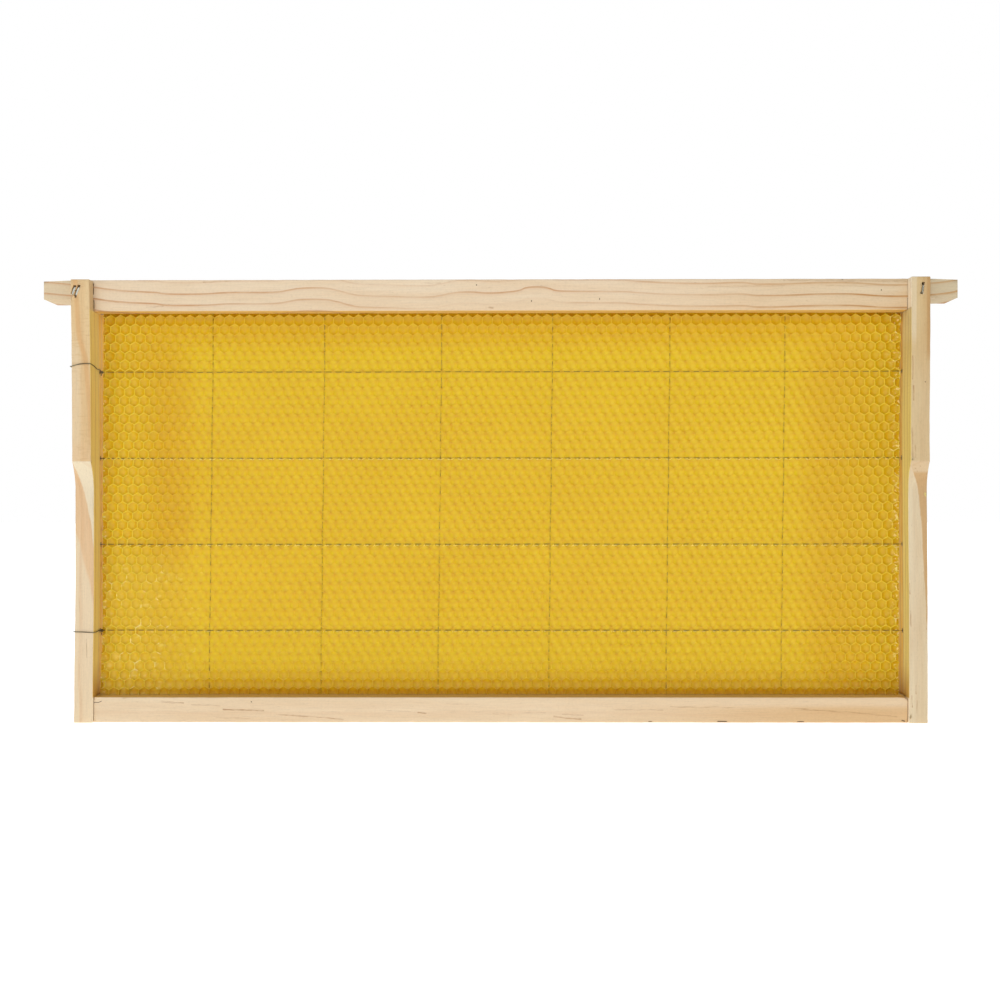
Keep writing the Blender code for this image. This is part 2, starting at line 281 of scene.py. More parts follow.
def object_from(shape, name):
    mesh = bpy.data.meshes.new(name)
    shape.to_mesh(mesh)
    shape.free()
    return place_object(name, mesh)


def stand_for(made, node):
    """The piece takes the CAD node's place and its body."""
    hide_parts(node)
    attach(made, "root")


# Pine boards

WELD = 1e-6  # metres: corners closer than this are one
WAVE = 0.05  # how far a planed face strays from flat
WEAR = 0.13  # how far the edges are rubbed down at most
CORNER_DEPTH = 9.0  # how far back a rounded corner reaches
LEFT_BOW = ((0, 0), (32, 0.25), (64, 0.8), (105, 0.9), (158, 0.75), (200, 0.5), (234, 0))
RIGHT_BOW = ((0, 0), (64, 0), (105, 0.3), (158, 0.5), (200, 0.1), (234, 0))


def read_off(points, at):
    """The second number of a line of points, where the first is at."""
    return np.interp(at, *zip(*points))


def split_faces(shape):
    """Cut faces of more than four corners into triangles."""
    bmesh.ops.triangulate(shape, faces=[face for face in shape.faces if len(face.verts) > 4])


def cut_across(shape, low, high, spacing):
    """Cut the faces into short lengths along each axis, so that the board can bend and wear."""
    for axis, step in enumerate(spacing):
        direction = Vector([float(axis == other) for other in range(3)])
        cuts = round((high[axis] - low[axis]) / (step * MM))
        for cut in range(1, cuts):
            at = low[axis] + (high[axis] - low[axis]) * cut / cuts
            bmesh.ops.bisect_plane(
                shape,
                geom=shape.verts[:] + shape.edges[:] + shape.faces[:],
                dist=WELD / 10,
                plane_co=direction * at,
                plane_no=direction,
            )


def round_corner(places, x, z, radius, front):
    """Round off the front top corner of a bar's end, less and less towards its back."""
    share = np.clip((front + CORNER_DEPTH - places[:, 1]) / CORNER_DEPTH, 0, 1)
    away = places[:, [0, 2]] - (x - radius, z - radius)
    reach = np.hypot(*np.maximum(away, 0).T)
    scale = np.minimum(1, radius / np.maximum(reach, 0.1))
    inside = (away > 0).all(1)
    rounded = (x - radius, z - radius) + away * scale[:, None]
    shift = (rounded - places[:, [0, 2]]) * (inside * share)[:, None]
    places[:, 0] += shift[:, 0]
    places[:, 2] += shift[:, 1]


def make_board(node, spacing, seed, bow=None, rounded=None):
    """The CAD board with waved faces, rubbed edges and a bend.

    Its attribute "board" keeps each corner's place on the flat board.
    """
    shape = bmesh.new()
    shape.from_mesh(nodes[node].data)
    bmesh.ops.remove_doubles(shape, verts=shape.verts, dist=WELD)
    cut_across(shape, *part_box(node), spacing)
    split_faces(shape)
    shape.normal_update()
    places = np.array([vertex.co for vertex in shape.verts]) / MM
    normals = np.array([vertex.normal for vertex in shape.verts])
    mesh = bpy.data.meshes.new(f"{node}_board")
    shape.to_mesh(mesh)
    shape.free()
    flat = mesh.attributes.new("board", "FLOAT_VECTOR", "POINT")
    flat.data.foreach_set("vector", places.ravel())
    u, v = places[:, 0] + 0.7 * places[:, 1], places[:, 2] - 0.9 * places[:, 1]
    wave = WAVE * (value_noise(u, v, 17, seed) - 1)
    on_edge = np.abs(normals).max(1) < 0.985
    rub = value_noise(u, v, 5, seed + 1) + 0.6 * value_noise(u, v, 1.7, seed + 2)
    wear = WEAR * np.clip(0.25 + 0.6 * rub, 0, 1) * on_edge
    shift = normals * (wave * ~on_edge - wear)[:, None]
    shift[:, np.ptp(places, axis=0).argmax()] = 0
    places += shift
    if rounded:
        round_corner(places, *rounded)
    if bow:
        side = np.sign(places[:, 0].mean())
        places[:, 0] -= side * read_off(bow, places[:, 2])
    mesh.vertices.foreach_set("co", (places * MM).ravel())
    mesh.materials.clear()
    mesh.shade_smooth()
    mesh.set_sharp_from_angle(angle=math.radians(38))
    return place_object(mesh.name, mesh)


class Pine(Tree):
    """Planed pine: growth rings round a pith line, with fibres, flecks and resin ducts.

    grain is the axis the board was sawn along and pith the middle of the rings on the other two
    axes. A dark line passes through first, a place on those two axes.
    """

    def __init__(self, name, grain, pith, first, ring, seed, wander):
        super().__init__(name)
        self.grain = grain
        self.seed = seed
        self.place = self.split(self.attribute("board", "Vector"))
        self.across = [self.place[axis] for axis in range(3) if axis != grain]
        self.pith = pith
        self.ring = ring
        self.start = math.dist(first, pith) + (1 - LATE_WOOD) * ring
        slow = self.grained(90.0, 26.0, 1, 1.0)
        quick = self.grained(28.0, 9.0, 7, 1.0)
        self.offset = wander * (2.0 * slow + quick - 1.5)

    def grained(self, long, short, seed, detail=2.0, rough=0.5):
        """Noise drawn out along the grain."""
        sizes = [long if axis == self.grain else short for axis in range(3)]
        return self.noise(self.place, sizes, self.seed + seed, detail, rough)

    def rings(self):
        """How many rings out from the first line, which itself is just under a whole number."""
        side = self.across[0] - self.pith[0]
        up = self.across[1] - self.pith[1] + self.offset
        radius = self.math("SQRT", side * side + up * up)
        return (radius - self.start) * (1 / self.ring)

    def late_wood(self, rings, strength):
        """The dark edge of each ring, broken up along the grain."""
        band = self.math("FRACT", rings).ramp(
            (0.0, 0.35),
            (0.035, 0.0),
            (0.62, 0.03),
            (0.82, 0.22),
            (LATE_WOOD - 0.03, 1.0),
            (0.985, 0.9),
            (1.0, 0.45),
        )
        breakup = 1.5 * self.grained(14.0, 1.6, 3, 3.0) + 0.2
        return (band * breakup * strength).clamped()

    def tone(self):
        """Broad streaks along the grain."""
        return self.grained(60.0, 4.5, 11, 3.0).ramp((0.32, 0.0), (0.68, 1.0))

    def marks(self, colour, front, tint, marks):
        """Short dark lines on the front: x and z of both ends, width and strength each."""
        x, _, z = self.place
        wobble = 1.4 * self.grained(7.0, 2.0, 43) - 0.7
        if self.grain == 0:
            z = z + wobble
        else:
            x = x + 0.6 * wobble
        flat = self.vector(x, 0.0, z)
        dark = most(*[self.mark(flat, *line) * strength for *line, strength in marks])
        breakup = self.grained(3.5, 0.35, 41, 3.0).ramp((0.36, 0.12), (0.6, 1.0))
        return (dark * breakup * front).between(colour, tint)

    def holes(self, colour, front, holes):
        """Painted shade of small pits, holes and joint gaps on the front, left crisp: x and z of
        both ends and width each.
        """
        x, _, z = self.place
        flat = self.vector(x, 0.0, z)
        dark = most(*[self.mark(flat, *hole) for hole in holes])
        return (dark * front).between(colour, PIT)

    def plane_off(self, colour, late, band):
        """Fibres, ducts, fine flecks and the planer's ripples over the colour, and the finish."""
        fibre = self.grained(9.0, 0.28, 17, 4.0, 0.62)
        duct = self.grained(3.4, 0.5, 23, 1.0).ramp((0.71, 0.0), (0.79, 1.0))
        speck = self.grained(1.3, 0.9, 29)
        patch = self.grained(30.0, 14.0, 37, 1.0).ramp((0.45, 0.0), (0.65, 1.0))
        wobble = self.grained(40.0, 5.0, 31, 1.0)
        turn = 2 * math.pi / PLANER_PITCH * self.place[self.grain]
        ripple = self.math("SINE", 5.0 * wobble + turn) * patch
        colour = band.between(colour, late)
        colour = colour.shaded(fibre.ramp((0.25, 0.90), (0.5, 1.0), (0.78, 1.04)))
        colour = (0.35 * duct).between(colour, srgb(158, 118, 78))
        colour = colour.shaded(speck.ramp((0.2, 0.95), (0.5, 1.0), (0.85, 1.025)))
        colour = colour.shaded(0.006 * ripple + 1.0)
        rough = 0.25 * fibre - 0.12 * band + 0.58
        self.bump(0.6 * fibre + 0.5 * band - 0.6 * duct + 0.07 * ripple, 0.09, 0.7)
        return self.finish(Base_Color=colour, Roughness=rough, Specular_IOR_Level=0.12)

    def painted_wax_bounce(self, colour, mask, bounce_shade):
        """Painted warm bounce light from the wax, and painted shade, on the wood round the wax."""
        fibre = self.grained(50.0, 0.9, 61, 3.0).ramp((0.35, 0.0), (0.65, 1.0))
        deeper = tuple(part * 0.86 for part in bounce_shade)
        return (0.88 * mask).between(colour, fibre.between(bounce_shade, deeper))


LATE_WOOD = 0.95  # where in each ring its dark line peaks
PLANER_PITCH = 1.9
# Painted shade for pits, holes and gaps
PIT = srgb(62, 44, 30)
# Painted warm shade in the gap behind the sheet's edges, and painted shade in the low corners
GAP_SHADE = srgb(238, 176, 42)
LOW_CORNER_SHADE = srgb(206, 152, 56)
# Painted light that lifts the shade on the steps beside the bars
STEP_PAINTED_LIGHT = srgb(255, 238, 208)
# Painted wax bounce light and shade for the wood faces round the sheet
INNER_BOUNCE_SHADE = srgb(254, 226, 132)
RIGHT_INNER_BOUNCE_SHADE = srgb(255, 236, 146)
UNDERSIDE_BOUNCE_SHADE = srgb(240, 196, 104)
SILL_BOUNCE_SHADE = srgb(226, 184, 92)
FRONT_OF_BARS = -BAR_DEPTH / 2


def dress(node, material, *args, **options):
    """The CAD board made over in its pine, in the board's place."""
    board = make_board(node, *args, **options)
    board.data.materials.append(material)
    stand_for(board, node)


# The top bar: two strong wavy lines, paler to the left and browner to the right

TOP_LINE = 227.0
TOP_WAVE = (
    (-245, 6.5), (-225, 4.6), (-215, 3.4), (-206, 2.1), (-195, 1.1), (-182, 0.5), (-173, -0.4),
    (-158, -0.4), (-142, 0.3), (-124, 0.3), (-111, 1.6), (-98, 2.7), (-87, 1.6), (-79, -0.4),
    (-71, -1.5), (-58, -1.8), (-42, -2.3), (-32, -1.5), (-24, 0.0), (-16, 0.5), (-5, -0.1),
    (3, 0.3), (11, 1.3), (19, 3.1), (26, 2.3), (34, 0.8), (63, 0.5), (74, -0.2), (111, -1.3),
    (127, -1.0), (137, -1.8), (180, -1.0), (209, -2.2), (222, -1.8), (245, 3.5),
)
TOP_STRENGTH = (
    (-245, 0.75), (-120, 0.85), (-90, 0.6), (-65, 0.42), (-35, 0.42), (-20, 0.65), (20, 0.95),
    (45, 0.8), (75, 0.5), (110, 0.45), (150, 0.8), (245, 1.0),
)
LOWER_STRENGTH = (
    (-245, 0.8), (-190, 0.95), (-150, 0.75), (-120, 0.5), (-95, 0.75), (-70, 0.5), (-48, 0.3),
    (-20, 0.12), (28, 0.12), (45, 0.5), (90, 0.45), (150, 0.8), (245, 1.0),
)
# Painted shade of pits, and of the joint gaps by the end bars
TOP_HOLES = (
    (-12.1, 231.2, -12.1, 230.9, 0.4), (16.9, 222.8, 16.9, 222.3, 0.4),
    (52.8, 223.8, 52.8, 223.3, 0.38), (201.1, 228.2, 201.1, 227.8, 0.4),
    (180.5, 233.5, 180.8, 233.5, 0.3), (-214.9, 232.0, -214.9, 226.5, 0.45),
    (-214.8, 223.0, -214.8, 219.2, 0.7), (-212.0, 217.6, -210.6, 217.6, 0.3),
)
TOP_MARKS = (
    (-5.5, 219.3, -3.6, 218.9, 0.9, 0.5), (-186.8, 219.7, -178, 220.1, 0.6, 0.5),
    (-203.5, 222.3, -201.5, 221.9, 0.5, 0.6), (-156.5, 232.7, -142, 233.2, 0.6, 0.55),
    (-41.6, 231.9, -31, 232.1, 0.5, 0.3), (150, 233.2, 214, 232.6, 1.0, 0.35),
    (110, 229.9, 150, 230.4, 0.6, 0.25), (172, 230.2, 212, 230.3, 0.6, 0.3),
)


def top_bar_material():
    tree = Pine("top_bar_pine", 0, (22, 64), (FRONT_OF_BARS, TOP_LINE), 5.9, 1.0, 0.22)
    x, y, z = tree.place
    tree.offset = tree.offset - x.curve(TOP_WAVE)
    rings = tree.rings()
    number = rings.floor()
    strength = (0.5 * number.chance() + 0.35) * x.step(-60, 120, 0.45, 1.0)
    strength = number.step(-0.5, 0.0).between(x.curve(TOP_STRENGTH), strength)
    strength = number.step(-1.2, -1.8).between(strength, x.curve(LOWER_STRENGTH))
    calm = tree.normal()[2].step(0.5, 0.9, 1.0, 0.5)
    band = tree.late_wood(rings, strength * calm)
    brown = x.step(60, 225)
    pale = brown.between(srgb(233, 214, 186), srgb(221, 200, 167))
    warm = brown.between(srgb(228, 204, 172), srgb(214, 187, 149))
    colour = tree.tone().between(pale, warm)
    low = z.step(229, 218) * x.step(-120, 60, 0.15, 0.5)
    colour = low.between(colour, srgb(224, 194, 154))
    lug = abs(x).step(224.0, 228.0)
    colour = (0.75 * lug).between(colour, srgb(216, 197, 163))
    colour = (0.7 * lug * x.step(0.0, 1.0)).between(colour, srgb(198, 184, 154))
    front = y.step(-9.0, -10.5)
    colour = tree.marks(colour, front, srgb(160, 118, 78), TOP_MARKS)
    colour = tree.holes(colour, front, TOP_HOLES)
    # Painted wax bounce and shade on the underside, which faces the sheet
    under = tree.normal()[2].step(-0.4, -0.9) * z.step(219, 218)
    colour = tree.painted_wax_bounce(colour, under, UNDERSIDE_BOUNCE_SHADE)
    return tree.plane_off(colour, brown.between(srgb(200, 154, 114), srgb(184, 136, 82)), band)


dress("top_bar", top_bar_material(), (4, 3, 3), 101)


# The bottom bar: nearly plain, with short brown streaks and a browner lower right

BOTTOM_MARKS = (
    (-178.9, 10.8, -167.3, 10.2, 0.6, 0.6), (-146.2, 6.8, -125, 6.1, 0.65, 0.85),
    (-118.2, 4.2, -82.8, 1.8, 0.5, 0.6), (-43.2, 5.2, -39, 4.9, 0.55, 0.9),
    (-3.6, 4.5, 6, 4.3, 0.5, 0.35), (28.6, 3.2, 42.8, 1.9, 0.55, 0.7),
    (33, 4.4, 44, 4.0, 0.5, 0.4), (151, 7.7, 183, 5.6, 0.6, 0.5), (183, 5.6, 209, 3.6, 0.55, 0.45),
    (-163.0, 9.6, -148.0, 8.9, 0.5, 0.35), (-60.0, 6.2, -47.0, 5.6, 0.4, 0.35),
    (12.0, 5.2, 24.0, 5.0, 0.4, 0.3), (60.0, 7.0, 86.0, 6.6, 0.5, 0.3),
    (-150.0, 2.6, -132.0, 2.2, 0.5, 0.3), (90.0, 8.4, 124.0, 8.0, 0.5, 0.35),
    (-28.0, 10.0, -12.0, 9.7, 0.4, 0.25),
)
BOTTOM_HOLES = (
    (-131.4, 11.0, -131.2, 10.8, 0.42), (78.6, 0.6, 80.0, 0.6, 0.4), (115.0, 0.7, 119.5, 0.6, 0.5),
    (157.0, 0.6, 160.0, 0.6, 0.4), (211.8, 1.3, 213.2, 0.9, 0.5),
    (-214.8, 10.6, -212.4, 10.5, 0.3), (-212.4, 10.5, -210.8, 11.2, 0.3),
)


def bottom_bar_material():
    tree = Pine("bottom_bar_pine", 0, (-60, -40), (FRONT_OF_BARS, 5.0), 8.5, 31.0, 1.6)
    x, y, z = tree.place
    rings = tree.rings()
    band = tree.late_wood(rings, 0.25 * rings.floor().chance() + 0.1)
    colour = tree.tone().between(srgb(231, 211, 181), srgb(226, 202, 169))
    brown = x.step(20, 190) * z.step(10.5, 6.5, 0.25, 0.9)
    colour = brown.between(colour, srgb(216, 182, 136))
    front = y.step(-9.0, -10.5)
    colour = tree.marks(colour, front, srgb(160, 114, 74), BOTTOM_MARKS)
    colour = tree.holes(colour, front, BOTTOM_HOLES)
    # Painted wax bounce and shade on the top face, which faces the sheet
    colour = tree.painted_wax_bounce(colour, tree.normal()[2].step(0.4, 0.9) * z.step(12, 13), SILL_BOUNCE_SHADE)
    return tree.plane_off(colour, srgb(205, 160, 116), band)


BOTTOM_CORNER = (INNER, BOTTOM_BAR_TOP, 3.2, FRONT_OF_BARS)
dress("bottom_bar", bottom_bar_material(), (2, 2, 1.1), 202, rounded=BOTTOM_CORNER)


# The end bars: the scoop shows fresh wood below a sharp line, and the grain runs out aslant

LEFT_STREAK = (
    (0, -214), (150, -215), (170, -215.8), (180, -216.6), (191, -217.6), (198, -219.4),
    (206, -221), (222, -221.8), (234, -222.5),
)
LEFT_PALE_EDGE = (
    (0, -208), (80, -213), (86, -213.9), (94, -215.5), (104, -216.5), (112, -218.1), (120, -219.7),
    (129, -222.3), (138, -225),
)
LEFT_CREAM_EDGE = (
    (0, -211), (40, -213.6), (62, -215.5), (75, -217.6), (82, -219.7), (94, -222.3), (104, -226),
    (138, -232),
)
RIGHT_BROWN_EDGE = (
    (0, 226), (40, 225.2), (54, 224.3), (70, 223.7), (79, 223.1), (96, 222.4), (107, 221.8),
    (117, 220.8), (125, 219.7), (131, 217.6), (138, 215.0),
)
LEFT_MARKS = (
    (-218.6, 44.0, -218.5, 34.5, 0.45, 0.55), (-220.8, 40.0, -220.7, 36.0, 0.4, 0.3),
    (-223.0, 66, -222.6, 58, 0.4, 0.25),
)
LEFT_HOLES = (
    (-220.2, 230.1, -220.1, 230.2, 0.5), (-222.4, 224.3, -222.5, 224.0, 0.75),
    (-222.3, 230.0, -222.2, 230.1, 0.42), (-224.2, 225.3, -224.3, 225.1, 0.7),
    (-223.2, 227.6, -222.2, 227.4, 0.35),
)
RIGHT_HOLES = (
    (221.35, 230.1, 221.37, 230.3, 0.75), (220.8, 225.3, 220.78, 225.1, 0.5),
    (222.4, 179.1, 222.5, 178.9, 0.4),
)
RIGHT_MARKS = (
    (215.7, 192.5, 215.9, 180.5, 0.5, 0.7), (216.4, 177.0, 216.5, 169.5, 0.5, 0.75),
    (215.9, 155.0, 216.0, 140.0, 0.6, 0.5), (217.3, 146.0, 217.5, 139.6, 0.45, 0.55),
    (215.5, 73.5, 215.6, 68.0, 0.45, 0.7), (215.9, 59.0, 216.1, 51.0, 0.5, 0.6),
    (216.6, 14.5, 216.7, 8.5, 0.45, 0.8), (218.7, 20.0, 218.7, 15.5, 0.4, 0.5),
    (219.2, 12.0, 219.2, 5.5, 0.4, 0.45), (218.0, 134.0, 218.3, 133.8, 0.5, 0.5),
    (220.2, 135.2, 220.5, 135.0, 0.45, 0.45), (219.3, 132.5, 219.5, 132.3, 0.4, 0.4),
)


def broken_edge(tree, edge, blur):
    """1 on the +X side of a line that climbs the board, with a slightly ragged change."""
    x, _, z = tree.place
    ragged = tree.grained(6.0, 1.2, 51, 3.0) - 0.5
    return (x + ragged - z.curve(edge)).step(-blur, blur)


def inner_face(tree, side):
    """1 on the face that looks across the frame, under the top bar."""
    z = tree.place[2]
    facing = (-side * tree.normal()[0]).step(0.4, 0.9)
    return facing * z.step(218.5, 216.5) * z.step(12.6, 14.0)


def painted_step_light(tree, colour, side, low, high):
    """Painted light on the steps beside the bars, below low and above high, lifting the shade
    there.
    """
    z = tree.place[2]
    facing = (-side * tree.normal()[0]).step(0.3, 0.8)
    ends = most(z.step(low + 0.6, low), z.step(high, high + 0.6))
    return (facing * ends).between(colour, STEP_PAINTED_LIGHT)


def painted_gap_and_hole_shade(tree, colour, inner):
    """Painted shade in the gap beside the sheet's edge, darker towards the low corner, and round
    the wire holes, on both broad sides.
    """
    _, y, z = tree.place
    ragged = tree.grained(20.0, 1.5, 71, 3.0).ramp((0.35, 0.5), (0.6, 1.0))
    line = abs(y - 2.2).step(5.2, 4.2) * ragged * inner
    # Painted shade in the gap behind the sheet's edge
    colour = (0.8 * line).between(colour, GAP_SHADE)
    # Painted shade, darker towards the low corner
    colour = (z.step(34.0, 14.0, 0.0, 0.7) * inner).between(colour, LOW_CORNER_SHADE)
    # Painted shade round the wire holes
    ways = [tree.vector(0.0, y - WIRE_Y, z - row) for row in WIRE_ROWS]
    hole_shade = [tree.vectors("LENGTH", away, output="Value").step(1.5, 0.85) for away in ways]
    facing = abs(tree.normal()[0]).step(0.4, 0.9)
    return (most(*hole_shade) * facing * 0.75).between(colour, PIT)


def scooped(tree):
    """1 on the front and back below the scoop's lip."""
    facing = abs(tree.normal()[0])
    return tree.place[2].step(SCOOP_LIP + 0.2, SCOOP_LIP) * facing.step(0.8, 0.5)


def end_bar_bands(tree, inner, spread, least):
    """The dark edges of an end bar's rings, stronger on the inner face."""
    rings = tree.rings()
    return tree.late_wood(rings, 0.3 * inner + spread * rings.floor().chance() + least)


def end_bar_marks_and_painted_light(tree, side, colour, front_marks, painted_light_above, bounce_mask, bounce_colour, inner):
    """The marks, the painted shade of pits, gaps and wire holes, the painted light on the steps and
    the painted wax bounce over an end bar's colour.
    """
    tint, marks, holes = front_marks
    front = tree.place[1].step(-11.0, -12.0)
    colour = tree.marks(colour, front, tint, marks)
    colour = tree.holes(colour, front, holes)
    colour = painted_step_light(tree, colour, side, 13.0, painted_light_above)
    return painted_gap_and_hole_shade(tree, tree.painted_wax_bounce(colour, bounce_mask, bounce_colour), inner)


def left_end_bar_material():
    tree = Pine("left_end_bar_pine", 2, (-190, -78), (-219.5, -17.5), 5.6, 47.0, 1.2)
    x, _, z = tree.place
    inner = inner_face(tree, -1)
    band = end_bar_bands(tree, inner, 0.3, 0.08)
    tone = tree.tone()
    upper = tone.between(srgb(226, 198, 152), srgb(220, 188, 140))
    grey = z.step(212, 190) * x.step(-219, -222)
    upper = (0.6 * grey).between(upper, srgb(228, 206, 172))
    upper = z.step(154, 140, 0.0, 0.5).between(upper, srgb(226, 192, 150))
    ticks = tree.noise(tree.place, (5.0, 5.0, 0.7), 81.0, 3.0)
    upper = ticks.ramp((0.55, 0.0), (0.72, 0.4)).between(upper, srgb(204, 168, 122))
    streak = abs(x - z.curve(LEFT_STREAK)).step(2.0, 0.5) * z.step(140, 160)
    upper = (0.65 * streak).between(upper, srgb(216, 170, 116))
    peach = tone.between(srgb(228, 196, 156), srgb(221, 185, 144))
    lower = broken_edge(tree, LEFT_CREAM_EDGE, 0.9).between(srgb(230, 209, 176), peach)
    lower = broken_edge(tree, LEFT_PALE_EDGE, 0.35).between(lower, srgb(232, 217, 187))
    colour = scooped(tree).between(upper, lower)
    front_marks = srgb(158, 118, 80), LEFT_MARKS, LEFT_HOLES
    colour = end_bar_marks_and_painted_light(tree, -1, colour, front_marks, 300.0, inner, INNER_BOUNCE_SHADE, inner)
    return tree.plane_off(colour, srgb(204, 154, 104), band)


def right_end_bar_material():
    tree = Pine("right_end_bar_pine", 2, (236, 62), (221.5, -17.5), 4.4, 63.0, 1.2)
    x, _, z = tree.place
    inner = inner_face(tree, 1)
    band = end_bar_bands(tree, inner, 0.35, 0.1)
    tone = tree.tone()
    upper = tone.between(srgb(211, 185, 140), srgb(203, 173, 124))
    upper = z.step(205, 165, 0.0, 0.6).between(upper, srgb(213, 192, 154))
    pale = x.step(218.2, 217.2) * z.step(196, 206)
    upper = (0.6 * pale).between(upper, srgb(222, 206, 174))
    brown = x.step(222.6, 223.6) * z.step(188, 196)
    upper = (0.7 * brown).between(upper, srgb(186, 146, 96))
    lower = tone.between(srgb(221, 204, 172), srgb(214, 193, 158))
    lower = broken_edge(tree, RIGHT_BROWN_EDGE, 0.35).between(lower, srgb(199, 164, 118))
    lower = (0.7 * z.step(131.0, 133.0)).between(lower, srgb(216, 194, 160))
    colour = scooped(tree).between(upper, lower)
    # Painted wax bounce and shade on the inner face, stronger higher up
    bounce_mask = inner * z.step(217.0, 150.0, 0.5, 1.0)
    front_marks = srgb(160, 108, 64), RIGHT_MARKS, RIGHT_HOLES
    colour = end_bar_marks_and_painted_light(tree, 1, colour, front_marks, 218.0, bounce_mask, RIGHT_INNER_BOUNCE_SHADE, inner)
    return tree.plane_off(colour, srgb(182, 136, 88), band)


dress("left_end_bar", left_end_bar_material(), (2.5, 3, 3), 303, bow=LEFT_BOW)
dress("right_end_bar", right_end_bar_material(), (2.5, 3, 3), 404, bow=RIGHT_BOW)


# Beeswax

PITCH = 5.32  # between cells along a row
ROW_PITCH = 4.71
CELL_X = -211.6  # where the cells are counted from
CELL_Z = 38.05
ROW_SPREAD = 4.5e-5  # rows stand a little further apart higher up
SHEAR = 0.0164  # and further to the right
HALF_RISE = 0.40  # how far the cell bottoms go either side of the middle
WEB = 0.70  # thickness of the wax between the two sides
CREST = 1.42  # how far the cell walls stand out from the middle of the sheet
SHOULDER_AT = 0.945  # where a wall's shoulder and foot lie between the cell's middle and the wall's
SHOULDER_DROP = 0.09
FOOT_AT = 0.85
FOOT_RISE = 0.05
SHEET_LEFT_EDGE = ((13, -214.2), (47, -213.5), (120, -213.2), (220, -212.7))
SHEET_RIGHT_EDGE = ((13, 213.0), (60, 213.2), (120, 213.6), (220, 214.3))
PRESS_MIDDLE = 0.40  # how deep the middle of the sheet is embossed, where its rim is 1
CUT_STEPS = 170  # along each hand-cut side
CUTTER_REACH = 3  # how far the cutter stands out on both sides of the sheet
BLOCK_DEPTH = 4  # how far behind the sheet each relief block ends
BEAD_DROP = 0.62  # how far the wax that the wires melted hangs under them
BEAD_ROWS = (  # height, half length, half height, and the span in x
    (WIRE_ROWS[1], 0.85, 0.38, -2000, 2000),
    (WIRE_ROWS[2], 1.05, 0.42, -2000, 2000),
    (WIRE_ROWS[3], 1.15, 0.36, -165, 2000),
)


def ramp_up(value, low, high):
    """0 below low, 1 above high, and straight between; low may be the greater."""
    return np.clip((value - low) / (high - low), 0, 1)


def press(x, z):
    """How deep the embossing is: the rollers press the middle of the sheet flatter than its rim."""
    side = np.maximum(ramp_up(x, -162, -210), ramp_up(x, 158, 212))
    rim = np.maximum(side, 0.55 * ramp_up(z, 196, 217))
    rim = np.maximum(rim, 0.25 * ramp_up(z, 34, 16))
    return PRESS_MIDDLE + (1 - PRESS_MIDDLE) * rim


def cell_faces(start_z, raised_tops, seed):
    """One side's cells: flat places, heights from the sheet's middle plane, and faces."""
    rows, columns = 49, 88
    count = rows * columns
    r, c = np.divmod(np.arange(count), columns)
    x = CELL_X - 2 * PITCH + (c + 0.5 * (r % 2)) * PITCH
    z = start_z + r * ROW_PITCH
    corner_drop = ROW_PITCH * 2 / 3
    flat = [np.stack([x, z + corner_drop], 1), np.stack([x, z - corner_drop], 1)]
    middle = WEB / 2
    raised, plain = middle + HALF_RISE, middle
    low = middle - HALF_RISE
    base = [raised, plain] if raised_tops else [plain, raised]
    heights = [np.full(count, CREST), np.full(count, CREST)]
    quads, fans = [], []
    extra_flat, extra_height = [], []
    next_index = 2 * count
    for r in range(1, rows - 1):
        odd = r % 2
        for c in range(1, columns - 1):
            over = (r + 1) * columns + c + odd
            under = (r - 1) * columns + c + odd
            here = r * columns + c
            corners = (
                here,
                count + over - 1,
                under - 1,
                count + here,
                under,
                count + over,
            )
            centre = np.array([x[here], z[here]])
            shoulder = range(next_index, next_index + 6)
            foot = range(next_index + 6, next_index + 12)
            for fraction in (SHOULDER_AT, FOOT_AT):
                for corner in corners:
                    kind = corner // count
                    at = flat[kind][corner % count]
                    extra_flat.append(centre + (at - centre) * fraction)
                    if fraction == SHOULDER_AT:
                        extra_height.append(CREST - SHOULDER_DROP)
                    else:
                        slope = low + (base[kind] - low) * fraction
                        extra_height.append(slope + FOOT_RISE)
            extra_flat.append(centre)
            extra_height.append(low)
            tip = next_index + 12
            next_index += 13
            for k in range(6):
                n = (k + 1) % 6
                quads.append((corners[k], corners[n], shoulder[n], shoulder[k]))
                quads.append((shoulder[k], shoulder[n], foot[n], foot[k]))
                fans.append((foot[k], foot[n], tip))
    places = np.concatenate([*flat, np.array(extra_flat)])
    height = np.concatenate([*heights, np.array(extra_height)])
    u, v = places[:, 0], places[:, 1]
    rng = np.random.default_rng(seed)
    crest = np.clip((height - raised) / (CREST - raised), 0, 1)
    height += crest * 0.10 * value_noise(u, v, 7.0, seed + 1)
    height += crest * 0.12 * (value_noise(u, v, 34.0, seed + 2) - 0.3)
    height += rng.uniform(-0.02, 0.02, len(height))
    du = 0.12 * value_noise(u, v, 6.0, seed + 3) + rng.uniform(-0.03, 0.03, len(u))
    dv = 0.12 * value_noise(u, v, 6.0, seed + 4) + rng.uniform(-0.03, 0.03, len(u))
    up = v - CELL_Z
    moved = np.stack([u + du + SHEAR * up, v + dv + ROW_SPREAD * up * up], 1)
    return moved, height * press(*moved.T), quads + fans


def push_back(grown, y):
    """Move the corners of an extrusion to that depth."""
    for item in grown["geom"]:
        if isinstance(item, bmesh.types.BMVert):
            item.co.y = y * MM


